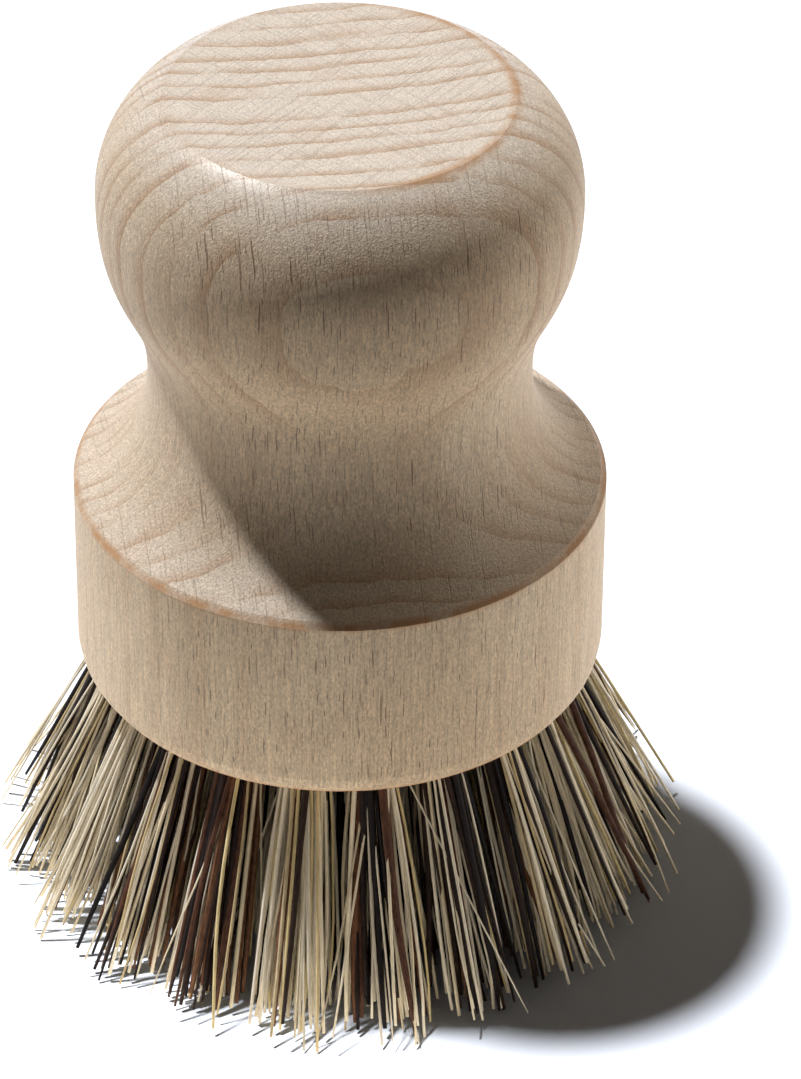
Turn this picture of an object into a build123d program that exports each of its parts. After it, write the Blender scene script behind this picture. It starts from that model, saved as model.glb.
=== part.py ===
from build123d import *
import os
from math import atan, cos, degrees, radians, sin, tan

# Palm brush: a turned beech block with a knob for the palm, and bundles of
# plant fibre stapled into fanned holes in its underside. Millimetres, Z up,
# origin on the axis at the level of the bristle tips.

# Turned block, heights counted from the drilled face up
base_diameter = 60.0
base_height = 24.5
neck_diameter = 42.8
neck_height = 38.5
knob_diameter = 53.4
knob_widest_height = 61.2
flat_top_diameter = 38.2
handle_height = 73.5
# How far the curve from neck to knob follows the upright at each of its ends
neck_hollow_reach = 11.0
knob_belly_reach = 13.0
# Fall of the flare where it runs out over the rim
rim_slope_degrees = 27.0

# Edges broken on the lathe, the round at the foot in a few flats
base_edge_round = 3.0
base_edge_flats = 4
rim_bevel = 0.7

# Rings of tufts about the one in the middle, fanned out from it
bristle_height = 28.0
inner_tuft_count = 6
middle_tuft_count = 12
outer_tuft_count = 20
ring_edge_margin = 0.7
outer_splay_degrees = 20.5

# Tuft holes, drilled in line with the bristles, their round in a few flats
hole_diameter = 5.0
hole_sides = 8
hole_depth = 11.0
hole_clearance = 0.1
drill_overrun = 3.0

# Packed and folded end of a tuft
bundle_sides = 6
bundle_reach = 1.0
fold_thickness = 1.4
fold_corner = 1.0

# Strands of one tuft, in two circles round its middle
inner_strands = 3
outer_strands = 5
inner_circle_share = 0.27
outer_circle_share = 0.66
strand_sides = 3
strand_width = 0.8
coarse_strand_width = 1.0
coarse_strand_step = 3
strand_root_depth = 0.8
tip_spread_share = 2.88
tip_unevenness = 3.2
trim_depth = 0.5

# Even scatter of the strands and of their lengths
golden_turn_degrees = 137.5
golden_share = 0.618

# Staples of flat wire
staple_side_gap = 0.4
wire_thickness = 0.5
wire_breadth = 1.0
leg_length = 7.0
leg_point_length = 0.9
staple_clearance = 0.05

# Worked out from the sizes above
hole_radius = hole_diameter / 2
outer_ring_radius = base_diameter / 2 - base_edge_round - ring_edge_margin - hole_radius
tuft_counts = {"inner": inner_tuft_count, "middle": middle_tuft_count, "outer": outer_tuft_count}
ring_pitch = outer_ring_radius / len(tuft_counts)
bundle_radius = hole_radius - hole_clearance
bundle_top = hole_depth - hole_clearance
crown_height = hole_depth - fold_thickness - wire_thickness
leg_top = crown_height + leg_length
leg_outer = hole_radius - staple_side_gap
leg_inner = leg_outer - wire_thickness


def block_outline():
    """Half outline of the turned block, from the axis out and back to the axis."""
    base_radius = base_diameter / 2
    wall_top = Vector(base_radius, base_height - rim_bevel)
    rim = Vector(base_radius - rim_bevel, base_height)
    neck = Vector(neck_diameter / 2, neck_height)
    widest = Vector(knob_diameter / 2, knob_widest_height)
    flat_edge = Vector(flat_top_diameter / 2, handle_height)
    up = Vector(0, 1)
    edge_centre = Vector(base_radius - base_edge_round, base_edge_round)
    edge_points = [
        edge_centre - up.rotate(Axis.Z, 90 * index / base_edge_flats) * base_edge_round
        for index in range(base_edge_flats + 1)
    ]

    drilled_face = Line((0, 0), edge_points[0])
    edge = Polyline(*edge_points)
    wall = Line(edge_points[-1], wall_top)
    bevel = Line(wall_top, rim)
    slope_rise = (rim.X - neck.X) * tan(radians(rim_slope_degrees))
    flare = Bezier(neck, Vector(neck.X, rim.Y + slope_rise), rim)
    ogee = Bezier(neck, neck + up * neck_hollow_reach, widest - up * knob_belly_reach, widest)
    shoulder = TangentArc(widest, flat_edge, tangent=up)
    flat_top = Line(flat_edge, (0, handle_height))
    axis = Line((0, handle_height), (0, 0))
    lower_edges = [drilled_face, edge, wall, bevel, flare]
    return make_face(lower_edges + [ogee, shoulder, flat_top, axis])


def turned_block():
    """The block before drilling, at its height above the bristle tips."""
    return Pos(0, 0, bristle_height) * revolve(Plane.XZ * block_outline(), Axis.Z)


def ring_splay(ring):
    """Lean of a ring's tufts in degrees: their slope grows evenly from the axis out."""
    return degrees(atan(tan(radians(outer_splay_degrees)) * ring * ring_pitch / outer_ring_radius))


def ring_places(ring, count):
    """Frames of a ring's hole mouths, with Z up along the hole and X away from the axis."""
    lean = Pos(ring * ring_pitch, 0, 0) * Rot(0, -ring_splay(ring), 0)
    turns = [360 * (index + ring / 2) / count for index in range(count)]
    return [Pos(0, 0, bristle_height) * Rot(0, 0, turn) * lean for turn in turns]


def prism(points, half_breadth):
    """A closed outline in the YZ plane, thickened alike to both sides of it."""
    outline = make_face(Polyline(*points, close=True))
    return extrude(Plane.YZ * outline, half_breadth, both=True)


def staple():
    """U-shaped staple of flat wire, with a crown and two pointed legs."""
    leg_shoulder = leg_top - leg_point_length
    half_outline = [
        (leg_outer, crown_height),
        (leg_outer, leg_shoulder),
        (leg_inner, leg_top),
        (leg_inner, crown_height + wire_thickness),
    ]
    other_half = [(-across, height) for across, height in reversed(half_outline)]
    return prism(half_outline + other_half, wire_breadth / 2)


def drilling():
    """What the drill and the two staple legs take out of the wood for one tuft."""
    round_hole = RegularPolygon(hole_radius, hole_sides, major_radius=False)
    bore = extrude(round_hole, hole_depth + drill_overrun)
    outer = leg_outer + staple_clearance
    inner = leg_inner - staple_clearance
    slot_top = leg_top + staple_clearance
    points = [(inner, crown_height), (outer, crown_height), (outer, slot_top), (inner, slot_top)]
    leg_slot = prism(points, wire_breadth / 2 + staple_clearance)
    return (Pos(0, 0, -drill_overrun) * bore) + [leg_slot, mirror(leg_slot, Plane.XZ)]


def folded_root():
    """The packed, folded end of a tuft inside its hole, with room for the staple."""
    half_side_angle = 180 / bundle_sides
    flat_radius = bundle_radius * cos(radians(half_side_angle))
    section = Rot(0, 0, half_side_angle) * RegularPolygon(bundle_radius, bundle_sides)
    plug = Pos(0, 0, -bundle_reach) * extrude(section, bundle_top + bundle_reach)
    # The fold turns over the staple, so the end is rounded off to both sides of it
    corner_points = [
        (flat_radius, bundle_top - fold_corner),
        (flat_radius, bundle_top),
        (flat_radius - fold_corner, bundle_top),
    ]
    corner = Rot(0, 0, 90) * prism(corner_points, bundle_radius)
    inner = leg_inner - staple_clearance
    crown_low = crown_height - staple_clearance
    crown_high = crown_height + wire_thickness + staple_clearance
    right_side = [
        (bundle_radius, crown_low),
        (bundle_radius, hole_depth),
        (inner, hole_depth),
        (inner, crown_high),
    ]
    left_side = [(-across, height) for across, height in reversed(right_side)]
    staple_way = prism(right_side + left_side, wire_breadth / 2 + staple_clearance)
    return plug - [corner, mirror(corner, Plane.YZ), staple_way]


def strand_roots(twist):
    """Where a tuft's strands leave its packed root, each as a distance and a turn."""
    circles = [(inner_strands, inner_circle_share), (outer_strands, outer_circle_share)]
    return [
        (bundle_radius * share, twist + 360 * index / count)
        for count, share in circles
        for index in range(count)
    ]


def strand(number, distance, turn, splay):
    """One strand in the frame of its hole, ending near the level of the bristle tips."""
    width = coarse_strand_width if number % coarse_strand_step == 0 else strand_width
    across = Vector(distance, 0).rotate(Axis.Z, turn)
    root = Vector(across.X, across.Y, strand_root_depth - bundle_reach)
    run = Vector(across.X, across.Y) * (tip_spread_share - 1) - Vector(0, 0, bristle_height)
    # The lean of the hole turns both into heights above the bristle tips
    root_height = bristle_height + root.rotate(Axis.Y, -splay).Z
    fall = -run.rotate(Axis.Y, -splay).Z
    tip_height = tip_unevenness * (number * golden_share % 1) - trim_depth
    run = run * ((root_height - tip_height) / fall)
    corner_radius = width / 2 / sin(radians(180 / strand_sides))
    section = Rot(0, 0, turn + 180 / strand_sides) * RegularPolygon(corner_radius, strand_sides)
    return extrude(Pos(*root) * section, run.length, dir=run)


def tuft(number, place, splay, root):
    """One bundle: a folded root, its strands fused to it, cut flat at the tips."""
    roots = strand_roots(golden_turn_degrees * number)
    strands = [
        strand(number * len(roots) + index, distance, turn, splay)
        for index, (distance, turn) in enumerate(roots)
    ]
    bundle = place * (root + strands)
    return split(bundle, Plane.XY, keep=Keep.TOP)


def main():
    os.makedirs("parts", exist_ok=True)
    root = folded_root()
    pin = staple()
    drill = drilling()
    drillings = []
    number = 0
    rings = [("centre", 1), *tuft_counts.items()]
    for ring, (ring_name, count) in enumerate(rings):
        places = ring_places(ring, count)
        for index, place in enumerate(places):
            bundle = tuft(number, place, ring_splay(ring), root)
            export_step(bundle, f"parts/tuft_{ring_name}_{index + 1:02d}.step")
            number += 1
        drillings += [place * drill for place in places]
        staples = Compound(children=[place * pin for place in places])
        export_step(staples, f"parts/staples_{ring_name}.step")
    export_step(turned_block() - drillings, "parts/handle_block.step")


main()
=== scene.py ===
"""A palm brush of turned beech with tufts of mixed plant fibre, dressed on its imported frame."""

import logging
import math
import random
from dataclasses import dataclass, field, replace
from enum import Enum

import bmesh
import bpy
from mathutils import Matrix, Vector


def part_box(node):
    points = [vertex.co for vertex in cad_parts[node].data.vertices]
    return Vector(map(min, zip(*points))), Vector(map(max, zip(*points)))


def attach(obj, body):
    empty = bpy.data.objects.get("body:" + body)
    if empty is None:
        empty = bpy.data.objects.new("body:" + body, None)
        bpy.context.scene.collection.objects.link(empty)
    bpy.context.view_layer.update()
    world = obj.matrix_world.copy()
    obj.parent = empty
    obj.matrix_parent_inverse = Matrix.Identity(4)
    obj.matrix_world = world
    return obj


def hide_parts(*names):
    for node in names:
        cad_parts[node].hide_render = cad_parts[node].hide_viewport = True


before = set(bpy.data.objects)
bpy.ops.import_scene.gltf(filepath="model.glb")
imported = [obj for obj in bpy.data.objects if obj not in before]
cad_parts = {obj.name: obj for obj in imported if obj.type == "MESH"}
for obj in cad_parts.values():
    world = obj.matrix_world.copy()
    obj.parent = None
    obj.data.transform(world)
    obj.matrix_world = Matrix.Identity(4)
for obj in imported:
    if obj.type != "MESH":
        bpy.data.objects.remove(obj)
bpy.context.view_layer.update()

Colour = tuple[float, float, float]
Triple = tuple[float, float, float]
Pair = tuple[float, float]
Socket = bpy.types.NodeSocket
Source = float | tuple[float, ...] | Socket

MILLIMETRE = 0.001
NOISE_MIDDLE = 0.5
WHITE: Colour = (1.0, 1.0, 1.0)
FIBRE_TINT = "fibre_tint"
FIBRE_PLACE = "fibre_place"

log = logging.getLogger("palm_brush")


def opaque(colour: Colour) -> tuple[float, float, float, float]:
    """A linear colour with full alpha, as sockets and attributes hold it."""
    return (*colour, 1.0)


@dataclass(frozen=True)
class Noise:
    """One noise of a finish: the size of its features on X, Y and Z in metres, and how fine it goes."""

    features: Triple
    detail: float = 2.0
    roughness: float = 0.5


class NodeSheet:
    """Short ways to lay and wire the nodes of one tree."""

    def __init__(self, tree: bpy.types.NodeTree) -> None:
        """Start with an empty tree.

        Args:
            tree: the node tree to fill.
        """
        self.tree = tree
        self.tree.nodes.clear()

    def lay(self, kind: str, inputs: dict[str | int, Source], **settings: object) -> bpy.types.Node:
        """Add a node.

        Args:
            kind: the node's type name.
            inputs: sockets or constants for its inputs, by name or index.
            settings: the node's own properties.

        Returns:
            The new node.
        """
        node = self.tree.nodes.new(kind)
        for name, value in settings.items():
            setattr(node, name, value)
        for key, source in inputs.items():
            if isinstance(source, Socket):
                self.tree.links.new(source, node.inputs[key])
            else:
                node.inputs[key].default_value = source
        return node

    def maths(self, operation: str, *sources: Source) -> Socket:
        """Combine numbers.

        Args:
            operation: the Math node's operation.
            sources: its inputs in order.

        Returns:
            The result's socket.
        """
        return self.lay("ShaderNodeMath", dict(enumerate(sources)), operation=operation).outputs[0]

    def vectors(self, operation: str, *sources: Source) -> Socket:
        """Combine vectors.

        Args:
            operation: the Vector Math node's operation.
            sources: its inputs in order.

        Returns:
            The resulting vector's socket.
        """
        return self.lay("ShaderNodeVectorMath", dict(enumerate(sources)), operation=operation).outputs[0]

    def length(self, vector: Source) -> Socket:
        """The length of a vector."""
        return self.lay("ShaderNodeVectorMath", {0: vector}, operation="LENGTH").outputs["Value"]

    def axes(self, vector: Source) -> list[Socket]:
        """The X, Y and Z of a vector."""
        return list(self.lay("ShaderNodeSeparateXYZ", {0: vector}).outputs)

    def vector(self, x: Source = 0.0, y: Source = 0.0, z: Source = 0.0) -> Socket:
        """A vector made of its X, Y and Z."""
        return self.lay("ShaderNodeCombineXYZ", {0: x, 1: y, 2: z}).outputs[0]

    def turned(self, vector: Source, degrees: float) -> Socket:
        """A vector turned about the Z axis."""
        turn = (0.0, 0.0, math.radians(degrees))
        return self.lay("ShaderNodeMapping", {"Vector": vector, "Rotation": turn}).outputs[0]

    def rise(self, value: Source, low: float, high: float) -> Socket:
        """A soft step from 0 at low to 1 at high, or the other way round where low is above high.

        Args:
            value: what is measured.
            low: where the step starts.
            high: where it ends.

        Returns:
            The step's socket.
        """
        if low > high:
            return self.maths("SUBTRACT", 1.0, self.rise(value, high, low))
        inputs: dict[str | int, Source] = {"Value": value, "From Min": low, "From Max": high}
        return self.lay("ShaderNodeMapRange", inputs, interpolation_type="SMOOTHSTEP").outputs["Result"]

    def between(self, share: Source, at_none: float, at_full: float) -> Socket:
        """A number that follows a share in a straight line.

        Args:
            share: the share, from 0 to 1.
            at_none: the number where the share is 0.
            at_full: the number where it is 1.

        Returns:
            The number's socket.
        """
        return self.maths("MULTIPLY_ADD", share, at_full - at_none, at_none)

    def noise(self, place: Source, noise: Noise) -> Socket:
        """Lay a noise.

        Args:
            place: the coordinates that it follows.
            noise: its features.

        Returns:
            The noise from 0 to 1.
        """
        inputs: dict[str | int, Source] = {
            "Vector": self.vectors("DIVIDE", place, noise.features),
            "Scale": 1.0,
            "Detail": noise.detail,
            "Roughness": noise.roughness,
        }
        return self.lay("ShaderNodeTexNoise", inputs).outputs[0]

    def blend(self, share: Source, first: Source, second: Source, mode: str = "MIX") -> Socket:
        """Mix two colours.

        Args:
            share: how much of the second is used.
            first: the colour below.
            second: the colour laid on it.
            mode: the Mix node's blend type.

        Returns:
            The mixed colour's socket.
        """
        inputs: dict[str | int, Source] = {0: share, 6: first, 7: second}
        return self.lay("ShaderNodeMix", inputs, data_type="RGBA", blend_type=mode).outputs[2]

    def shaded(self, colour: Source, shade: Source) -> Socket:
        """A colour made darker below a shade of 1 and lighter above it."""
        return self.blend(1.0, colour, self.vector(shade, shade, shade), "MULTIPLY")


class FinishSheet(NodeSheet):
    """The node sheet of one material."""

    def __init__(self, name: str) -> None:
        """Start an empty material.

        Args:
            name: the material's name.
        """
        self.material = bpy.data.materials.new(name)
        self.material.use_nodes = True
        super().__init__(self.material.node_tree)

    def close(self, surface: bpy.types.Node) -> bpy.types.Material:
        """Join the finished shader to the output.

        Args:
            surface: the node whose first output is the shader.

        Returns:
            The material.
        """
        self.lay("ShaderNodeOutputMaterial", {"Surface": surface.outputs[0]})
        return self.material


@dataclass(frozen=True)
class GrowthRings:
    """Growth rings seen from above: bowed lines of late wood, uneven in course, width and strength."""

    spacing: float = 3.0 * MILLIMETRE
    phase: float = 64.27
    curve_radius: float = 95 * MILLIMETRE
    wander: Noise = Noise((0.016, 0.011, 0.060))
    wander_reach: float = 2.2 * MILLIMETRE
    wave: Noise = Noise((0.0042, 0.0034, 0.020), detail=1.0)
    wave_reach: float = 1.1 * MILLIMETRE
    ripple: Noise = Noise((0.0013, 0.0016, 0.010), detail=1.0)
    ripple_reach: float = 0.40 * MILLIMETRE
    pitch: Noise = Noise((1.0, 0.007, 1.0), detail=1.0)
    pitch_reach: float = 1.8
    growth_step: Pair = (0.30, 0.93)
    growth_power: float = 2.0
    growth_strength: float = 0.72
    line_step: Pair = (0.84, 0.95)
    edge_step: Pair = (1.0, 0.96)
    patch: Noise = Noise((0.0070, 0.0022, 0.012))
    patch_step: Pair = (0.22, 0.60)

    def lay(self, sheet: FinishSheet, grain: Source) -> Socket:
        """Lay the rings.

        Args:
            sheet: the material that is being laid.
            grain: coordinates turned so that Y crosses the rings.

        Returns:
            0 in early wood, rising to 1 at each ring's edge.
        """
        across, depth, _ = sheet.axes(grain)
        bow = sheet.maths("DIVIDE", sheet.maths("MULTIPLY", across, across), 2 * self.curve_radius)
        depth = sheet.maths("SUBTRACT", depth, bow)
        for noise, reach in (
            (self.wander, self.wander_reach),
            (self.wave, self.wave_reach),
            (self.ripple, self.ripple_reach),
        ):
            depth = sheet.maths("MULTIPLY_ADD", sheet.noise(grain, noise), reach, depth)
        pitch = sheet.noise(sheet.vector(y=depth), self.pitch)
        count = sheet.maths("DIVIDE", depth, self.spacing)
        count = sheet.maths("MULTIPLY_ADD", pitch, self.pitch_reach, count)
        phase = sheet.maths("FRACT", sheet.maths("SUBTRACT", self.phase, count))
        growth = sheet.maths("POWER", sheet.rise(phase, *self.growth_step), self.growth_power)
        growth = sheet.maths("MULTIPLY", growth, self.growth_strength)
        late = sheet.maths("MAXIMUM", growth, sheet.rise(phase, *self.line_step))
        late = sheet.maths("MULTIPLY", late, sheet.rise(phase, *self.edge_step))
        patch = sheet.noise(grain, self.patch)
        return sheet.maths("MULTIPLY", late, sheet.rise(patch, *self.patch_step))


@dataclass(frozen=True)
class PithRays:
    """Pith rays: ribbons that are thin across, short along the fibre and deep into the wood.

    The cell is their spacing along X, Y and Z in metres, and their sizes are shares of it.
    """

    cell: Triple
    width_shares: Pair
    height_shares: Pair = (0.12, 0.42)
    narrowing: float = 0.6
    narrowing_power: float = 2.0
    side_step: Pair = (1.15, 0.5)
    end_step: Pair = (1.1, 0.8)
    depth_step: Pair = (0.62, 0.5)
    strengths: Pair = (0.22, 1.0)
    strength_power: float = 1.8

    def lay(self, sheet: FinishSheet, grain: Source) -> Socket:
        """Lay the rays.

        Args:
            sheet: the material that is being laid.
            grain: coordinates turned so that Y crosses the rings.

        Returns:
            1 on the strongest ray and 0 beside them all.
        """
        place = sheet.vectors("DIVIDE", grain, self.cell)
        inputs: dict[str | int, Source] = {"Vector": place, "Scale": 1.0, "Randomness": 1.0}
        cells = sheet.lay("ShaderNodeTexVoronoi", inputs, feature="F1")
        offset = sheet.vectors("ABSOLUTE", sheet.vectors("SUBTRACT", place, cells.outputs["Position"]))
        across, deep, along = sheet.axes(offset)
        width_draw, height_draw, strength_draw = sheet.axes(cells.outputs["Color"])
        thin = sheet.maths("DIVIDE", across, sheet.between(width_draw, *self.width_shares))
        tall = sheet.maths("DIVIDE", along, sheet.between(height_draw, *self.height_shares))
        narrowed = sheet.maths("POWER", tall, self.narrowing_power)
        thin = sheet.maths("MULTIPLY_ADD", narrowed, self.narrowing, thin)
        ribbon = sheet.rise(thin, *self.side_step)
        ribbon = sheet.maths("MULTIPLY", ribbon, sheet.rise(tall, *self.end_step))
        ribbon = sheet.maths("MULTIPLY", ribbon, sheet.rise(deep, *self.depth_step))
        strength = sheet.maths("POWER", strength_draw, self.strength_power)
        return sheet.maths("MULTIPLY", ribbon, sheet.between(strength, *self.strengths))


@dataclass(frozen=True)
class SandingMarks:
    """Crossing marks of the sanding belt."""

    turns_degrees: Pair = (38.0, -47.0)
    hatch: Noise = Noise((0.00024, 0.0260, 0.0260), detail=1.0)
    hatch_step: Pair = (0.54, 0.70)

    def lay(self, sheet: FinishSheet, place: Source) -> Socket:
        """Lay the marks.

        Args:
            sheet: the material that is being laid.
            place: the object's coordinates.

        Returns:
            0 beside the marks, rising to 1 on the deepest.
        """
        marks: Source = 0.0
        for degrees in self.turns_degrees:
            hatch = sheet.noise(sheet.turned(place, degrees), self.hatch)
            marks = sheet.maths("MAXIMUM", marks, sheet.rise(hatch, *self.hatch_step))
        return marks


@dataclass(frozen=True)
class CircleLine:
    """A soft line round the axis."""

    radius: float
    height: float
    reach: float

    def lay(self, sheet: FinishSheet, place: Source) -> Socket:
        """Lay the line.

        Args:
            sheet: the material that is being laid.
            place: the object's coordinates.

        Returns:
            1 on the line and 0 beyond its reach.
        """
        x, y, z = sheet.axes(place)
        side = sheet.maths("SUBTRACT", sheet.length(sheet.vector(x, y)), self.radius)
        over = sheet.maths("SUBTRACT", z, self.height)
        squares = [sheet.maths("POWER", offset, 2.0) for offset in (side, over)]
        return sheet.rise(sheet.maths("SQRT", sheet.maths("ADD", *squares)), self.reach, 0.0)


@dataclass(frozen=True)
class WoodFaces:
    """How each point of the block lies to its fibre, its rings and its form, as shares from 0 to 1."""

    end_grain: Socket
    quarter_sawn: Socket
    flat_sawn: Socket
    flat_top: Socket
    painted_light_share: Socket
    # Share of painted light on up-facing surfaces
    knob: Socket
    # Share of painted shade on the knob's front
    knob_front_shade: Socket


@dataclass(frozen=True)
class WoodFigure:
    """The figure of the wood at each point."""

    late: Socket
    rays: Socket
    scratches: Socket
    streak: Socket
    speckle: Socket


@dataclass(frozen=True)
class BeechFinish:
    """Turned beech left bare after sanding, its fibre along Z, its rings seen from above, with painted
    light and shade.
    """

    pale: Colour = (0.72, 0.605, 0.475)
    deep: Colour = (0.65, 0.525, 0.395)
    # Paler, greyer tone for up-facing surfaces: painted light, as a brightly lit top looks
    painted_light_top: Colour = (0.745, 0.655, 0.565)
    # Darker, warmer tone on the knob's front, which faces away from the key: painted shade
    painted_front_shade: Colour = (0.68, 0.53, 0.375)
    flush: Colour = (0.64, 0.455, 0.335)
    late_wood: Colour = (0.48, 0.305, 0.185)
    ray: Colour = (0.19, 0.100, 0.052)
    # Tan of the worn rim and crease lines; along the foot it is also painted shade
    burnish_and_painted_shade: Colour = (0.56, 0.315, 0.16)

    # Where the surface lies to the fibre and the rings
    ring_turn_degrees: float = 9.0
    end_grain_step: Pair = (0.25, 0.85)
    quarter_sawn_step: Pair = (0.55, 0.90)
    flat_sawn_step: Pair = (0.80, 0.98)
    flat_top_step: Pair = (0.97, 0.995)
    # Where up-facing surfaces take the painted light tone, more on the knob than on the flare
    painted_light_step: Pair = (0.45, 0.95)
    painted_light_strengths: Pair = (0.50, 0.95)
    knob_step: Pair = (66.05 * MILLIMETRE, 78.05 * MILLIMETRE)
    # Where the painted shade on the knob's front lies, and how strong it is
    front_step: Pair = (-10 * MILLIMETRE, -24 * MILLIMETRE)
    front_shade_strength: float = 0.6

    # Figure
    rings: GrowthRings = GrowthRings()
    ring_strengths: Pair = (0.28, 0.78)
    knob_ring_strength: float = 0.85
    flat_sawn_ring_shares: Pair = (1.0, 0.7)
    fine_rays: PithRays = PithRays(cell=(0.00056, 0.009, 0.0027), width_shares=(0.040, 0.120))
    broad_rays: PithRays = PithRays(cell=(0.0017, 0.016, 0.0060), width_shares=(0.020, 0.060))
    ray_waver: Noise = Noise((0.0060, 0.0060, 0.0036), detail=1.0)
    ray_waver_reach: float = 0.4 * MILLIMETRE
    ray_strengths: Pair = (0.92, 0.42)
    flat_top_ray_loss: float = 0.33
    quarter_sawn_ray_shares: Pair = (1.0, 0.2)
    sanding: SandingMarks = SandingMarks()
    sanding_shades: Pair = (1.03, 0.90)
    streak: Noise = Noise((0.00026, 0.00026, 0.0080), detail=3.0, roughness=0.65)
    streak_shades: Pair = (0.55, 1.45)
    speckle: Noise = Noise((0.00021, 0.00021, 0.00050), roughness=0.7)
    speckle_strengths: Pair = (1.30, 0.70)
    flat_top_shades: Pair = (1.0, 1.10)

    # Broad changes of tone
    cloud: Noise = Noise((0.012, 0.010, 0.045), detail=3.0)
    cloud_step: Pair = (0.3, 0.7)
    flush_spots: Noise = Noise((0.0050, 0.0050, 0.0110))
    flush_step: Pair = (0.52, 0.74)
    flush_strength: float = 0.30

    # Edges that hands and work have worn, with painted shade along the foot and a crease line stronger
    # towards +X
    rim: CircleLine = CircleLine(29.8 * MILLIMETRE, 52.05 * MILLIMETRE, 0.9 * MILLIMETRE)
    # The foot line is wider than the thin tan edge, and also lays painted shade on the underside that
    # the floor lights
    foot: CircleLine = CircleLine(28.8 * MILLIMETRE, 28.6 * MILLIMETRE, 1.5 * MILLIMETRE)
    crease: CircleLine = CircleLine(19.1 * MILLIMETRE, 101.5 * MILLIMETRE, 1.2 * MILLIMETRE)
    # The crease line grows stronger towards +X
    crease_side_step: Pair = (-2 * MILLIMETRE, 12 * MILLIMETRE)
    crease_side_strengths: Pair = (0.10, 0.85)
    wear: Noise = Noise((0.0045, 0.0045, 0.0045), detail=3.0, roughness=0.6)
    wear_step: Pair = (0.38, 0.58)
    wear_strengths: Pair = (0.4, 1.0)

    # Relief and gloss
    polish: CircleLine = replace(crease, reach=3.2 * MILLIMETRE)
    polish_shares: Pair = (1.0, 0.25)
    fuzz: Noise = Noise((0.00020, 0.00020, 0.00024), roughness=0.7)
    fuzz_relief: float = 0.7
    streak_relief: float = 0.4
    ray_relief: float = -1.1
    scratch_relief: float = -0.3
    relief_strength: float = 0.7
    relief_depth: float = 0.20 * MILLIMETRE
    roughnesses: Pair = (0.50, 0.68)
    polish_roughness: float = -0.30
    specular: float = 0.35

    def faces(self, sheet: FinishSheet, normal: Source, place: Source, grain: Source) -> WoodFaces:
        """Tell how the surface lies at each point.

        Args:
            sheet: the material that is being laid.
            normal: the surface's direction.
            place: the object's coordinates.
            grain: those coordinates turned so that Y crosses the rings.

        Returns:
            The shares that the tone and the figure follow.
        """
        up = sheet.axes(normal)[2]
        grain_normal = sheet.vectors("ABSOLUTE", sheet.turned(normal, -self.ring_turn_degrees))
        along_rings, across_rings, _ = sheet.axes(grain_normal)
        knob = sheet.rise(sheet.axes(place)[2], *self.knob_step)
        front = sheet.rise(sheet.axes(grain)[1], *self.front_step)
        knob_strength = sheet.maths("MULTIPLY", knob, self.front_shade_strength)
        painted_light_strength = sheet.between(knob, *self.painted_light_strengths)
        return WoodFaces(
            end_grain=sheet.rise(sheet.maths("ABSOLUTE", up), *self.end_grain_step),
            quarter_sawn=sheet.rise(along_rings, *self.quarter_sawn_step),
            flat_sawn=sheet.rise(across_rings, *self.flat_sawn_step),
            flat_top=sheet.rise(up, *self.flat_top_step),
            painted_light_share=sheet.maths("MULTIPLY", sheet.rise(up, *self.painted_light_step), painted_light_strength),
            knob=knob,
            knob_front_shade=sheet.maths("MULTIPLY", front, knob_strength),
        )

    def figure(self, sheet: FinishSheet, place: Source, grain: Source, faces: WoodFaces) -> WoodFigure:
        """Lay rings, rays, streaks, speckle and sanding marks.

        Args:
            sheet: the material that is being laid.
            place: the object's coordinates.
            grain: those coordinates turned so that Y crosses the rings.
            faces: how the surface lies.

        Returns:
            The figure at each point.
        """
        waver = sheet.maths("MULTIPLY", sheet.noise(grain, self.ray_waver), self.ray_waver_reach)
        wavy = sheet.vectors("ADD", grain, sheet.vector(waver))
        rays = sheet.maths("MAXIMUM", self.fine_rays.lay(sheet, wavy), self.broad_rays.lay(sheet, wavy))
        strength = sheet.between(faces.end_grain, *self.ray_strengths)
        strength = sheet.maths("MULTIPLY_ADD", faces.flat_top, -self.flat_top_ray_loss, strength)
        quarter_share = sheet.between(faces.quarter_sawn, *self.quarter_sawn_ray_shares)
        strength = sheet.maths("MULTIPLY", strength, quarter_share)
        return WoodFigure(
            late=self.rings.lay(sheet, grain),
            rays=sheet.maths("MULTIPLY", rays, strength),
            scratches=sheet.maths("MULTIPLY", self.sanding.lay(sheet, place), faces.flat_top),
            streak=sheet.noise(grain, self.streak),
            speckle=sheet.noise(grain, self.speckle),
        )

    def shade(self, sheet: FinishSheet, faces: WoodFaces, figure: WoodFigure) -> Socket:
        """Work out how much lighter or darker the fibre is than the wood's tone.

        Args:
            sheet: the material that is being laid.
            faces: how the surface lies.
            figure: the figure of the wood.

        Returns:
            The shade, 1 where the tone stays.
        """
        coarseness = sheet.between(faces.flat_top, *self.speckle_strengths)
        speckle = sheet.maths("SUBTRACT", figure.speckle, NOISE_MIDDLE)
        shade = sheet.between(figure.streak, *self.streak_shades)
        for part in (
            sheet.maths("MULTIPLY_ADD", speckle, coarseness, 1.0),
            sheet.between(figure.scratches, *self.sanding_shades),
            sheet.between(faces.flat_top, *self.flat_top_shades),
        ):
            shade = sheet.maths("MULTIPLY", shade, part)
        return shade

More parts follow.
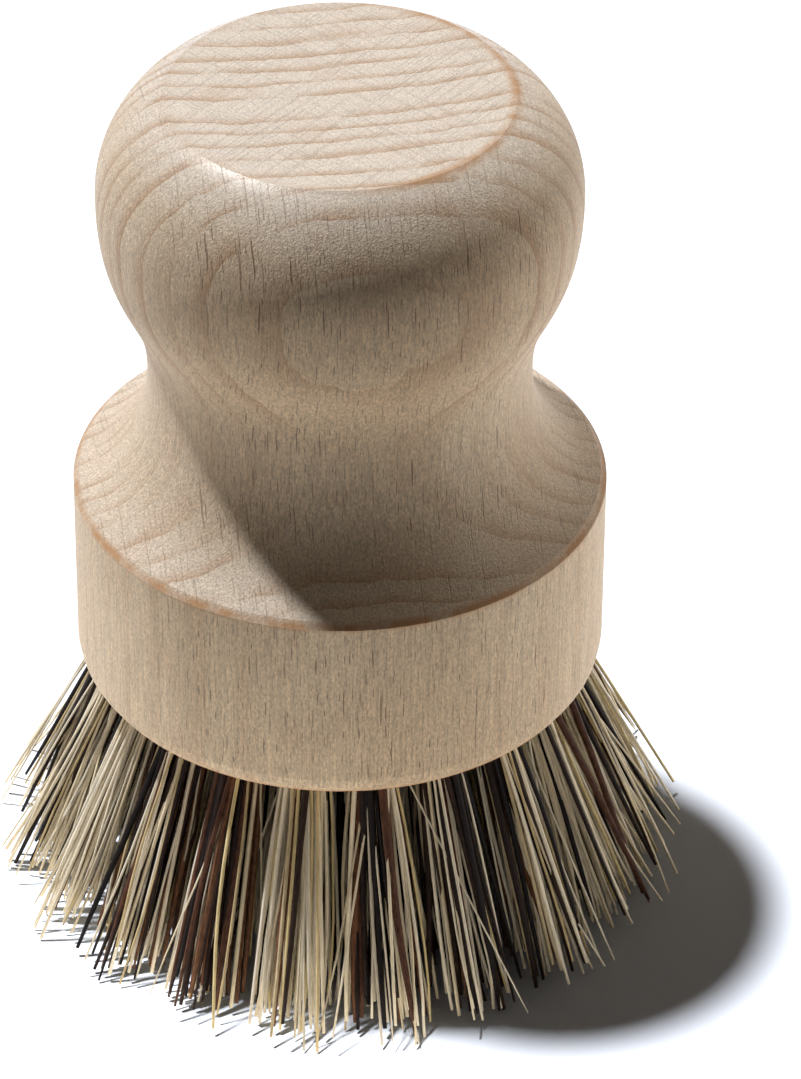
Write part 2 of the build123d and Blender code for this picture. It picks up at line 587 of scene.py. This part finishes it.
    def tone(self, sheet: FinishSheet, grain: Source, faces: WoodFaces, figure: WoodFigure) -> Socket:
        """Colour the wood, without its worn edge lines and the painted shade at its foot.

        Args:
            sheet: the material that is being laid.
            grain: coordinates turned so that Y crosses the rings.
            faces: how the surface lies.
            figure: the figure of the wood.

        Returns:
            The colour's socket.
        """
        cloud = sheet.rise(sheet.noise(grain, self.cloud), *self.cloud_step)
        wood = sheet.blend(cloud, opaque(self.pale), opaque(self.deep))
        # Painted shade: the knob's front turns darker and warmer
        wood = sheet.blend(faces.knob_front_shade, wood, opaque(self.painted_front_shade))
        # Painted light: up-facing surfaces turn paler and greyer
        wood = sheet.blend(faces.painted_light_share, wood, opaque(self.painted_light_top))
        flush = sheet.rise(sheet.noise(grain, self.flush_spots), *self.flush_step)
        wood = sheet.blend(sheet.maths("MULTIPLY", flush, self.flush_strength), wood, opaque(self.flush))
        strength = sheet.between(faces.end_grain, *self.ring_strengths)
        knob_strength = sheet.maths("MULTIPLY", faces.knob, self.knob_ring_strength)
        strength = sheet.maths("MAXIMUM", strength, knob_strength)
        flat_share = sheet.between(faces.flat_sawn, *self.flat_sawn_ring_shares)
        strength = sheet.maths("MULTIPLY", strength, flat_share)
        wood = sheet.blend(sheet.maths("MULTIPLY", figure.late, strength), wood, opaque(self.late_wood))
        wood = sheet.shaded(wood, self.shade(sheet, faces, figure))
        return sheet.blend(figure.rays, wood, opaque(self.ray))

    def rubbed_lines_and_shade(self, sheet: FinishSheet, place: Source) -> Socket:
        """Find the worn edge lines of rim, foot and crease, the crease line stronger towards +X, and the
        painted shade that the foot line lays on the underside.

        Args:
            sheet: the material that is being laid.
            place: the object's coordinates.

        Returns:
            The strength of the worn lines and of the painted shade at the foot.
        """
        side = sheet.rise(sheet.axes(place)[0], *self.crease_side_step)
        crease_side_share = sheet.between(side, *self.crease_side_strengths)
        edges = sheet.maths("MULTIPLY", self.crease.lay(sheet, place), crease_side_share)
        edges = sheet.maths("MAXIMUM", self.foot.lay(sheet, place), edges)
        edges = sheet.maths("MAXIMUM", edges, self.rim.lay(sheet, place))
        wear = sheet.rise(sheet.noise(place, self.wear), *self.wear_step)
        return sheet.maths("MULTIPLY", edges, sheet.between(wear, *self.wear_strengths))

    def relief(self, sheet: FinishSheet, place: Source, figure: WoodFigure, polish: Source) -> Socket:
        """Raise the fibre and sink rays and scratches.

        Args:
            sheet: the material that is being laid.
            place: the object's coordinates.
            figure: the figure of the wood.
            polish: how smooth the surface was rubbed.

        Returns:
            The uneven surface's direction.
        """
        height = sheet.maths("MULTIPLY", sheet.noise(place, self.fuzz), self.fuzz_relief)
        for part, gain in (
            (figure.streak, self.streak_relief),
            (figure.rays, self.ray_relief),
            (figure.scratches, self.scratch_relief),
        ):
            height = sheet.maths("MULTIPLY_ADD", part, gain, height)
        height = sheet.maths("MULTIPLY", height, sheet.between(polish, *self.polish_shares))
        inputs: dict[str | int, Source] = {
            "Height": height, "Strength": self.relief_strength, "Distance": self.relief_depth,
        }
        return sheet.lay("ShaderNodeBump", inputs).outputs[0]

    def material(self) -> bpy.types.Material:
        """Lay the whole finish.

        Returns:
            Its material.
        """
        sheet = FinishSheet("beech")
        source = sheet.lay("ShaderNodeTexCoord", {}).outputs
        place = source["Object"]
        grain = sheet.turned(place, -self.ring_turn_degrees)
        faces = self.faces(sheet, source["Normal"], place, grain)
        figure = self.figure(sheet, place, grain, faces)
        polish = self.polish.lay(sheet, place)
        rough = sheet.between(figure.speckle, *self.roughnesses)
        wood = self.tone(sheet, grain, faces, figure)
        shader: dict[str | int, Source] = {
            # Worn rim and crease lines, and painted shade along the foot
            "Base Color": sheet.blend(self.rubbed_lines_and_shade(sheet, place), wood, opaque(self.burnish_and_painted_shade)),
            "Roughness": sheet.maths("MULTIPLY_ADD", polish, self.polish_roughness, rough),
            "Normal": self.relief(sheet, place, figure, polish),
            "Specular IOR Level": self.specular,
        }
        return sheet.close(sheet.lay("ShaderNodeBsdfPrincipled", shader))


@dataclass(frozen=True)
class FibreFinish:
    """Stiff plant fibres, each in its own tint, streaked lengthwise and mottled where they are dark."""

    streak: Noise = Noise((0.00010, 0.00010, 0.0045), detail=3.0, roughness=0.65)
    streak_shades: Pair = (0.60, 1.40)
    patch: Noise = Noise((0.0020, 0.0020, 0.0060))
    patch_shades: Pair = (0.77, 1.27)
    mottle: Noise = Noise((0.00032, 0.00032, 0.0011), roughness=0.6)
    bark_strengths: Pair = (2.4, -0.2)
    least_bark: float = 0.35
    least_mottle: float = 0.2
    relief_strength: float = 0.4
    relief_depth: float = 0.08 * MILLIMETRE
    roughnesses: Pair = (0.44, 0.64)
    specular: float = 0.14

    def material(self) -> bpy.types.Material:
        """Lay the finish.

        Returns:
            Its material.
        """
        sheet = FinishSheet("plant_fibre")
        tint = sheet.lay("ShaderNodeAttribute", {}, attribute_name=FIBRE_TINT).outputs["Color"]
        place = sheet.lay("ShaderNodeAttribute", {}, attribute_name=FIBRE_PLACE).outputs["Vector"]
        streak = sheet.noise(place, self.streak)
        patch = sheet.noise(place, self.patch)
        mottle = sheet.maths("SUBTRACT", sheet.noise(place, self.mottle), NOISE_MIDDLE)
        bark = sheet.between(sheet.axes(tint)[0], *self.bark_strengths)
        bark = sheet.maths("MAXIMUM", bark, self.least_bark)
        mottled = sheet.maths("MULTIPLY_ADD", mottle, bark, 1.0)
        mottled = sheet.maths("MAXIMUM", mottled, self.least_mottle)
        shade = sheet.between(streak, *self.streak_shades)
        shade = sheet.maths("MULTIPLY", shade, sheet.between(patch, *self.patch_shades))
        inputs: dict[str | int, Source] = {
            "Height": streak, "Strength": self.relief_strength, "Distance": self.relief_depth,
        }
        shader: dict[str | int, Source] = {
            "Base Color": sheet.shaded(tint, sheet.maths("MULTIPLY", shade, mottled)),
            "Roughness": sheet.between(patch, *self.roughnesses),
            "Normal": sheet.lay("ShaderNodeBump", inputs).outputs[0],
            "Specular IOR Level": self.specular,
        }
        return sheet.close(sheet.lay("ShaderNodeBsdfPrincipled", shader))


@dataclass(frozen=True)
class WireFinish:
    """Flat drawn steel wire with faint drawing marks along the legs."""

    steel: Colour = (0.50, 0.49, 0.47)
    dull: Colour = (0.33, 0.32, 0.31)
    marks: Noise = Noise((0.00015, 0.00015, 0.0040))
    roughnesses: Pair = (0.28, 0.53)

    def material(self) -> bpy.types.Material:
        """Lay the finish.

        Returns:
            Its material.
        """
        sheet = FinishSheet("staple_wire")
        marks = sheet.noise(sheet.lay("ShaderNodeTexCoord", {}).outputs["Object"], self.marks)
        shader: dict[str | int, Source] = {
            "Base Color": sheet.blend(marks, opaque(self.steel), opaque(self.dull)),
            "Metallic": 1.0,
            "Roughness": sheet.between(marks, *self.roughnesses),
        }
        return sheet.close(sheet.lay("ShaderNodeBsdfPrincipled", shader))


@dataclass(frozen=True)
class FloorFinish:
    """Matt white board that throws less light back from the front and from far off.

    The camera sees it in one plain white all over.
    """

    white: Colour = (0.95, 0.92, 0.84)
    side_grey: Colour = (0.45, 0.43, 0.40)
    front_grey: Colour = (0.04, 0.04, 0.04)
    seen_white: Colour = (0.70, 0.80, 1.0)
    near_step: Pair = (0.12, 0.06)
    front_step: Pair = (-0.15, -0.06)
    seeing_rays: tuple[str, ...] = ("Is Glossy Ray", "Is Transmission Ray")

    def material(self) -> bpy.types.Material:
        """Lay the finish.

        Returns:
            Its material.
        """
        sheet = FinishSheet("studio_floor")
        path = sheet.lay("ShaderNodeLightPath", {}).outputs
        seen = path["Is Camera Ray"]
        for ray in self.seeing_rays:
            seen = sheet.maths("MAXIMUM", seen, path[ray])
        place = sheet.lay("ShaderNodeTexCoord", {}).outputs["Object"]
        near = sheet.rise(sheet.length(place), *self.near_step)
        beside = sheet.rise(sheet.axes(place)[1], *self.front_step)
        thrown = sheet.blend(beside, opaque(self.front_grey), opaque(self.side_grey))
        thrown = sheet.blend(near, thrown, opaque(self.white))
        colour = sheet.blend(seen, thrown, opaque(self.seen_white))
        return sheet.close(sheet.lay("ShaderNodeBsdfDiffuse", {"Color": colour}))


@dataclass(frozen=True)
class FibreKind:
    """One sort of fibre in the mix."""

    tints: tuple[Colour, ...]
    thinnest: float
    thickest: float
    bow: float
    tip_share: float


class Fibre(Enum):
    """The sorts of plant fibre that the tufts are made of."""

    CREAM = FibreKind(
        tints=((0.90, 0.83, 0.69), (0.84, 0.79, 0.69), (0.93, 0.88, 0.77), (0.80, 0.72, 0.56)),
        thinnest=0.30 * MILLIMETRE,
        thickest=0.58 * MILLIMETRE,
        bow=1.7 * MILLIMETRE,
        tip_share=0.80,
    )
    STRAW = FibreKind(
        tints=((0.74, 0.63, 0.36), (0.66, 0.54, 0.32), (0.55, 0.46, 0.31)),
        thinnest=0.30 * MILLIMETRE,
        thickest=0.50 * MILLIMETRE,
        bow=1.9 * MILLIMETRE,
        tip_share=0.80,
    )
    RUSSET = FibreKind(
        tints=((0.145, 0.064, 0.034), (0.190, 0.092, 0.052), (0.100, 0.044, 0.027)),
        thinnest=0.60 * MILLIMETRE,
        thickest=1.08 * MILLIMETRE,
        bow=0.8 * MILLIMETRE,
        tip_share=0.45,
    )
    DARK = FibreKind(
        tints=((0.021, 0.011, 0.008), (0.036, 0.019, 0.013), (0.013, 0.008, 0.007)),
        thinnest=0.46 * MILLIMETRE,
        thickest=0.98 * MILLIMETRE,
        bow=0.8 * MILLIMETRE,
        tip_share=0.55,
    )


class Mix(Enum):
    """How many of each sort, out of a hundred, go into a tuft."""

    BRIGHT = {Fibre.CREAM: 72, Fibre.STRAW: 10, Fibre.RUSSET: 5, Fibre.DARK: 13}
    EVEN = {Fibre.CREAM: 44, Fibre.STRAW: 12, Fibre.RUSSET: 15, Fibre.DARK: 29}
    BROWN = {Fibre.CREAM: 30, Fibre.STRAW: 9, Fibre.RUSSET: 33, Fibre.DARK: 28}
    SHADY = {Fibre.CREAM: 34, Fibre.STRAW: 8, Fibre.RUSSET: 13, Fibre.DARK: 45}
    GOLDEN = {Fibre.CREAM: 60, Fibre.STRAW: 22, Fibre.RUSSET: 5, Fibre.DARK: 13}

    def draw(self, dice: random.Random) -> FibreKind:
        """Draw the sort of one fibre."""
        kinds = list(self.value)
        return dice.choices(kinds, [self.value[kind] for kind in kinds])[0].value


@dataclass(frozen=True)
class FibreBlank:
    """One straight fibre of unit length and thickness, which every fibre of the brush repeats."""

    sides: int = 5
    joints: int = 7

    def mesh(self) -> bpy.types.Mesh:
        """Extrude the blank from its upper end down to its tip.

        Returns:
            The blank, from height 0 down to -1, closed at both ends.
        """
        model = bmesh.new()
        bmesh.ops.create_circle(model, cap_ends=True, segments=self.sides, radius=0.5)
        upper_end = model.faces[:]
        end = upper_end
        for _ in range(self.joints):
            grown = bmesh.ops.extrude_face_region(model, geom=end)["geom"]
            verts = [item for item in grown if isinstance(item, bmesh.types.BMVert)]
            bmesh.ops.translate(model, verts=verts, vec=(0.0, 0.0, -1.0 / self.joints))
            # The extruded face stays behind, and below the upper end it would be a wall inside
            if end is not upper_end:
                bmesh.ops.delete(model, geom=end, context="FACES_ONLY")
            end = [item for item in grown if isinstance(item, bmesh.types.BMFace)]
        bmesh.ops.recalc_face_normals(model, faces=model.faces)
        for face in model.faces:
            face.smooth = True
        mesh = bpy.data.meshes.new("fibre_blank")
        model.to_mesh(mesh)
        model.free()
        return mesh


@dataclass(frozen=True)
class FibreCourse:
    """One fibre's way from its root in the hole to its tip, with its thickness and its tint."""

    root: Vector
    run: Vector
    bow: Vector
    kink_phase: float
    thickness: float
    tip_share: float
    tint: Colour
    figure_place: Vector
    flatness: float = 0.82
    taper_power: int = 4
    kink_rate: float = 9.0
    kink_reach: float = 0.12 * MILLIMETRE

    def lay(self, model: bmesh.types.BMesh, blank: bpy.types.Mesh) -> None:
        """Add the fibre, bent and tapered along its way.

        Args:
            model: the tuft's mesh.
            blank: the straight fibre to copy.
        """
        tints = model.verts.layers.float_color[FIBRE_TINT]
        places = model.verts.layers.float_vector[FIBRE_PLACE]
        facing = self.run.to_track_quat("-Z", "Y").to_matrix()
        kink_side = self.bow.normalized() * self.kink_reach
        start = len(model.verts)
        model.from_mesh(blank)
        model.verts.ensure_lookup_table()
        for vert in model.verts[start:]:
            along = -vert.co.z
            taper = 1.0 - (1.0 - self.tip_share) * along**self.taper_power
            section = Vector((vert.co.x, vert.co.y * self.flatness, 0.0)) * self.thickness * taper
            bend = self.bow * (4.0 * along * (1.0 - along))
            kink = kink_side * (math.sin(self.kink_phase + along * self.kink_rate) * along)
            vert.co = self.root + self.run * along + facing @ section + bend + kink
            vert[tints] = opaque(self.tint)
            vert[places] = self.figure_place + Vector((section.x, section.y, along * self.run.length))


@dataclass
class Tuft:
    """The loose, spread-out end of one bundle of fibres, below and just inside its hole."""

    node: str
    mouth: Matrix
    mix: Mix
    seed: int
    fibres: int = 74
    root_depth: float = 3.0 * MILLIMETRE
    root_radius: float = 2.25 * MILLIMETRE
    root_turn_degrees: float = 137.5
    root_jitter: float = 0.2
    spread: float = 2.02
    scatter_degrees: float = 2.2
    stray_share: float = 0.10
    stray_degrees: float = 8.5
    stray_thickness: float = 0.30 * MILLIMETRE
    bow_share: float = 0.25
    tint_lifts: Pair = (0.82, 1.12)
    tip_steps: tuple[Triple, ...] = (
        (0.62, 0.0, 1.3 * MILLIMETRE),
        (0.30, 1.0 * MILLIMETRE, 3.4 * MILLIMETRE),
        (0.08, 3.0 * MILLIMETRE, 7.5 * MILLIMETRE),
    )
    tip_lift_share: float = 0.4
    reach_limit: float = 40.2 * MILLIMETRE
    kink_phases: Pair = (0.0, 6.3)
    figure_step: float = 3.7 * MILLIMETRE

    def tip_height(self, dice: random.Random) -> float:
        """Draw the height of one tip over the table.

        Args:
            dice: the tuft's seeded random numbers.

        Returns:
            The height in metres.
        """
        draw = dice.random()
        for share, low, high in self.tip_steps:
            if draw < share:
                break
            draw -= share
        return dice.uniform(low, high)

    def run(self, root: Vector, drift: Vector, tip_height: float) -> Vector:
        """The way from a fibre's root to its tip, inside the brush's reach.

        Args:
            root: where the fibre starts.
            drift: how far it leaves the line of its hole, a metre along it.
            tip_height: where it ends over the table.

        Returns:
            The tip's place, seen from the root.
        """
        run = self.mouth.to_3x3() @ (drift - Vector((0.0, 0.0, 1.0)))
        run *= (root.z - tip_height) / -run.z
        out = (root + run).to_2d()
        if out.length > self.reach_limit:
            run -= (out * (1.0 - self.reach_limit / out.length)).to_3d()
        return run

    def course(self, number: int, dice: random.Random) -> FibreCourse:
        """Draw one fibre.

        Args:
            number: the fibre's place in the tuft, from 0.
            dice: the tuft's seeded random numbers.

        Returns:
            The fibre's course.
        """
        kind = self.mix.draw(dice)
        tint = dice.choice(kind.tints)
        lift = dice.uniform(*self.tint_lifts)
        thickness = dice.uniform(kind.thinnest, kind.thickest)

        ring = math.sqrt((number + 0.5) / self.fibres) * self.root_radius
        jitter = dice.uniform(-self.root_jitter, self.root_jitter)
        turn = number * math.radians(self.root_turn_degrees) + jitter
        across = Vector((math.cos(turn), math.sin(turn), 0.0)) * ring
        root = self.mouth @ (across + Vector((0.0, 0.0, self.root_depth)))

        lean = self.scatter_degrees
        if dice.random() < self.stray_share:
            lean = self.stray_degrees
            thickness = self.stray_thickness
            tint = dice.choice(Fibre.CREAM.value.tints)
        hole_line = self.mouth.to_3x3() @ Vector((0.0, 0.0, 1.0))
        fall = (self.mouth.translation.z + self.root_depth) / hole_line.z
        scatter = Vector((dice.gauss(0, 1), dice.gauss(0, 1), 0.0)) * math.tan(math.radians(lean))
        drift = across * (self.spread - 1.0) / fall + scatter
        tip_height = self.tip_height(dice) + thickness * self.tip_lift_share
        return FibreCourse(
            root=root,
            run=self.run(root, drift, tip_height),
            bow=Vector((dice.gauss(0, 1), dice.gauss(0, 1), 0.0)) * kind.bow * self.bow_share,
            figure_place=Vector((ring, number * self.figure_step, dice.uniform(0.0, 1.0))),
            kink_phase=dice.uniform(*self.kink_phases),
            thickness=thickness,
            tip_share=kind.tip_share,
            tint=tuple(channel * lift for channel in tint),
        )

    def build(self, blank: bpy.types.Mesh, finish: bpy.types.Material) -> bpy.types.Object:
        """Make the tuft and let it stand for its node.

        Args:
            blank: the straight fibre to copy.
            finish: the fibres' material.

        Returns:
            The finished piece.
        """
        dice = random.Random(self.seed)
        model = bmesh.new()
        model.verts.layers.float_color.new(FIBRE_TINT)
        model.verts.layers.float_vector.new(FIBRE_PLACE)
        for number in range(self.fibres):
            self.course(number, dice).lay(model, blank)
        name = self.node.replace("tuft", "bristles")
        mesh = bpy.data.meshes.new(name)
        model.to_mesh(mesh)
        model.free()
        mesh.materials.append(finish)
        piece = bpy.data.objects.new(name, mesh)
        bpy.context.scene.collection.objects.link(piece)
        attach(piece, "root")
        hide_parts(self.node)
        return piece


@dataclass
class Bristles:
    """All the tufts, in rings fanned out from the middle one."""

    rings: tuple[str, ...] = ("centre", "inner", "middle", "outer")
    outer_radius: float = 23.8 * MILLIMETRE
    outer_splay_degrees: float = 20.5
    first_seed: int = 40
    seeds_a_ring: int = 100
    front_mixes: dict[str, Mix] = field(default_factory=lambda: {
        "tuft_outer_10": Mix.BRIGHT,
        "tuft_outer_11": Mix.BRIGHT,
        "tuft_outer_12": Mix.EVEN,
        "tuft_outer_13": Mix.BROWN,
        "tuft_outer_14": Mix.GOLDEN,
        "tuft_outer_15": Mix.EVEN,
        "tuft_outer_16": Mix.SHADY,
        "tuft_outer_17": Mix.EVEN,
        "tuft_outer_18": Mix.BRIGHT,
        "tuft_outer_19": Mix.BRIGHT,
        "tuft_outer_20": Mix.GOLDEN,
        "tuft_outer_01": Mix.EVEN,
        "tuft_middle_08": Mix.GOLDEN,
        "tuft_middle_09": Mix.SHADY,
        "tuft_middle_10": Mix.SHADY,
    })
    other_mixes: tuple[Mix, ...] = (Mix.EVEN, Mix.SHADY, Mix.BRIGHT, Mix.BROWN, Mix.GOLDEN)
    other_mix_step: int = 2

    def nodes_of(self, ring: str) -> list[str]:
        """The nodes of one ring's tufts, in their order round the axis."""
        return sorted(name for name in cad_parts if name.startswith(f"tuft_{ring}_"))

    def mouth(self, ring: int, index: int, count: int) -> Matrix:
        """Frame of a hole's mouth, with Z up along the hole and X away from the axis.

        Args:
            ring: the ring's number, 0 for the middle tuft.
            index: the hole's place in its ring, from 0.
            count: how many holes the ring has.

        Returns:
            The frame as a matrix in metres.
        """
        share = ring / (len(self.rings) - 1)
        splay = math.atan(math.tan(math.radians(self.outer_splay_degrees)) * share)
        turn = math.tau * (index + ring / 2) / count
        drilled_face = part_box("handle_block")[0][2]
        raised = Matrix.Translation((0.0, 0.0, drilled_face)) @ Matrix.Rotation(turn, 4, "Z")
        moved_out = Matrix.Translation((self.outer_radius * share, 0.0, 0.0))
        return raised @ moved_out @ Matrix.Rotation(-splay, 4, "Y")

    def tufts(self) -> list[Tuft]:
        """Give every tuft its place, its seed and its mix of fibres.

        Returns:
            The tufts, from the middle one out.
        """
        found = []
        for ring, name in enumerate(self.rings):
            nodes = self.nodes_of(name)
            for index, node in enumerate(nodes):
                spare = self.other_mixes[(index * self.other_mix_step + ring) % len(self.other_mixes)]
                mix = self.front_mixes.get(node, spare)
                seed = self.first_seed + self.seeds_a_ring * ring + index
                found.append(Tuft(node, self.mouth(ring, index, len(nodes)), mix, seed))
        return found

    def build(self, finish: FibreFinish) -> list[bpy.types.Object]:
        """Make every tuft.

        Args:
            finish: the fibres' finish.

        Returns:
            The finished pieces.
        """
        material = finish.material()
        blank = FibreBlank().mesh()
        pieces = [tuft.build(blank, material) for tuft in self.tufts()]
        bpy.data.meshes.remove(blank)
        return pieces


@dataclass
class HandleBlock:
    """The turned block, kept as its node."""

    node: str = "handle_block"

    def dress(self, finish: BeechFinish) -> None:
        """Give the block its wood.

        Args:
            finish: the wood's finish.
        """
        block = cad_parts[self.node]
        block.data.materials.clear()
        block.data.materials.append(finish.material())


@dataclass
class Staples:
    """The staples in the holes, kept as their nodes."""

    prefix: str = "staples_"

    def dress(self, finish: WireFinish) -> None:
        """Give the staples their wire.

        Args:
            finish: the wire's finish.
        """
        material = finish.material()
        for name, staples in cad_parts.items():
            if name.startswith(self.prefix):
                staples.data.materials.clear()
                staples.data.materials.append(material)


@dataclass
class PhotoCamera:
    """A long lens that looks down on the brush, with the brush left of and above the middle."""

    elevation_degrees: float = 33.8
    distance: float = 0.650
    aimed_height: float = 76.4 * MILLIMETRE
    lens: float = 196.9
    sensor: float = 36.0
    tilt_degrees: float = 2.436
    shift_x: float = 0.0561
    clip_start: float = 0.01

    def build(self) -> bpy.types.Object:
        """Place the camera and make it the scene's.

        Returns:
            The camera.
        """
        data = bpy.data.cameras.new("photo_camera")
        data.sensor_fit = "AUTO"
        data.sensor_width = self.sensor
        data.lens = self.lens
        data.shift_x = self.shift_x
        data.clip_start = self.clip_start
        camera = bpy.data.objects.new("photo_camera", data)
        elevation = math.radians(self.elevation_degrees)
        back = Vector((0.0, -math.cos(elevation), math.sin(elevation)))
        camera.location = Vector((0.0, 0.0, self.aimed_height)) + back * self.distance
        tilt = math.radians(90.0 - self.elevation_degrees - self.tilt_degrees)
        camera.rotation_euler = (tilt, 0.0, 0.0)
        bpy.context.scene.collection.objects.link(camera)
        bpy.context.scene.camera = camera
        return camera


class Reach(Enum):
    """What a lamp shines on, given as its link to the floor."""

    FLOOR = "INCLUDE"
    BRUSH = "EXCLUDE"


@dataclass(frozen=True)
class SunLamp:
    """A far lamp, seen from the brush in its direction."""

    name: str
    direction: Triple
    strength: float
    spread_degrees: float
    tint: Colour = WHITE

    def data(self) -> bpy.types.Light:
        """Make the lamp's data.

        Returns:
            The data.
        """
        data = bpy.data.lights.new(self.name, "SUN")
        data.energy = self.strength
        data.angle = math.radians(self.spread_degrees)
        data.color = self.tint
        return data


@dataclass(frozen=True)
class SoftBox:
    """A wide lamp near the brush, with its width and its height."""

    name: str
    place: Triple
    power: float
    size: Pair
    tint: Colour

    def data(self) -> bpy.types.Light:
        """Make the lamp's data.

        Returns:
            The data.
        """
        data = bpy.data.lights.new(self.name, "AREA")
        data.shape = "RECTANGLE"
        data.size, data.size_y = self.size
        data.energy = self.power
        data.color = self.tint
        return data


@dataclass
class Studio:
    """White floor, a small high lamp behind the left shoulder and low soft boxes at both sides.

    The key shades the brush, and a steeper one gives its shadow on the floor: one sun can't give both.
    """

    shade_tint: Colour = (1.0, 0.85, 0.68)
    box_tint: Colour = (1.0, 0.91, 0.79)
    side_box_size: Pair = (0.9, 0.26)
    room_strength: float = 0.052
    floor_size: float = 8.0
    key: SunLamp = SunLamp("key", direction=(-0.475, 0.315, 1.0), strength=3.3, spread_degrees=4.0)
    floor_key: SunLamp = SunLamp(
        "floor_key",
        direction=(-0.275, 0.147, 1.0),
        strength=6.9,
        spread_degrees=5.0,
        tint=(1.0, 0.93, 0.83),
    )
    boxes: tuple[SoftBox, ...] = (
        SoftBox("fill", place=(-0.75, -0.85, 0.16), power=0.07, size=(0.7, 0.7), tint=shade_tint),
        SoftBox("side_box_1", place=(-0.90, 0.15, 0.15), power=0.2, size=side_box_size, tint=box_tint),
        SoftBox("side_box_2", place=(0.82, 0.36, 0.22), power=3.4, size=side_box_size, tint=box_tint),
    )

    def floor(self) -> bpy.types.Object:
        """Lay the floor at the level of the bristle tips.

        Returns:
            The floor.
        """
        model = bmesh.new()
        bmesh.ops.create_grid(model, x_segments=1, y_segments=1, size=self.floor_size / 2)
        mesh = bpy.data.meshes.new("floor")
        model.to_mesh(mesh)
        model.free()
        mesh.materials.append(FloorFinish().material())
        board = bpy.data.objects.new("floor", mesh)
        bpy.context.scene.collection.objects.link(board)
        return board

    def hang(self, data: bpy.types.Light, toward: Triple, board: bpy.types.Object, reach: Reach) -> None:
        """Hang a lamp so that it shines at the foot of the brush.

        Args:
            data: the lamp's data.
            toward: where the lamp is, seen from there.
            board: the floor.
            reach: what the lamp shines on.
        """
        lamp = bpy.data.objects.new(data.name, data)
        lamp.location = toward
        lamp.rotation_euler = Vector(toward).to_track_quat("Z", "Y").to_euler()
        lamp.visible_camera = False
        bpy.context.scene.collection.objects.link(lamp)
        reached = bpy.data.collections.new(f"{data.name}_reach")
        reached.objects.link(board)
        reached.collection_objects[0].light_linking.link_state = reach.value
        lamp.light_linking.receiver_collection = reached

    def lights(self, board: bpy.types.Object) -> None:
        """Hang the two suns, the fill and the soft boxes.

        Args:
            board: the floor.
        """
        self.hang(self.key.data(), self.key.direction, board, Reach.BRUSH)
        self.hang(self.floor_key.data(), self.floor_key.direction, board, Reach.FLOOR)
        for box in self.boxes:
            self.hang(box.data(), box.place, board, Reach.BRUSH)

    def room(self) -> None:
        """Make the room, white to the camera and a faint warm light to the brush."""
        world = bpy.data.worlds.new("room")
        world.use_nodes = True
        sheet = NodeSheet(world.node_tree)
        seen = sheet.lay("ShaderNodeLightPath", {}).outputs["Is Camera Ray"]
        inputs: dict[str | int, Source] = {"Value": seen, "To Min": self.room_strength, "To Max": 1.0}
        light: dict[str | int, Source] = {
            "Color": sheet.blend(seen, opaque(self.shade_tint), opaque(WHITE)),
            "Strength": sheet.lay("ShaderNodeMapRange", inputs).outputs["Result"],
        }
        background = sheet.lay("ShaderNodeBackground", light)
        sheet.lay("ShaderNodeOutputWorld", {"Surface": background.outputs[0]})
        bpy.context.scene.world = world

    def build(self) -> None:
        """Set the whole studio."""
        self.lights(self.floor())
        self.room()
        bpy.context.scene.view_settings.view_transform = "Standard"


def main() -> None:
    """Dress the brush, set the studio and report each piece."""
    logging.basicConfig(level=logging.INFO, format="%(name)s: %(message)s")
    PhotoCamera().build()
    Studio().build()
    HandleBlock().dress(BeechFinish())
    log.info("handle_block dressed in beech")
    Staples().dress(WireFinish())
    log.info("staples dressed in wire")
    for piece in Bristles().build(FibreFinish()):
        log.info("%s has %d faces", piece.name, len(piece.data.polygons))
    bpy.context.view_layer.update()


if __name__ == "__main__":
    main()
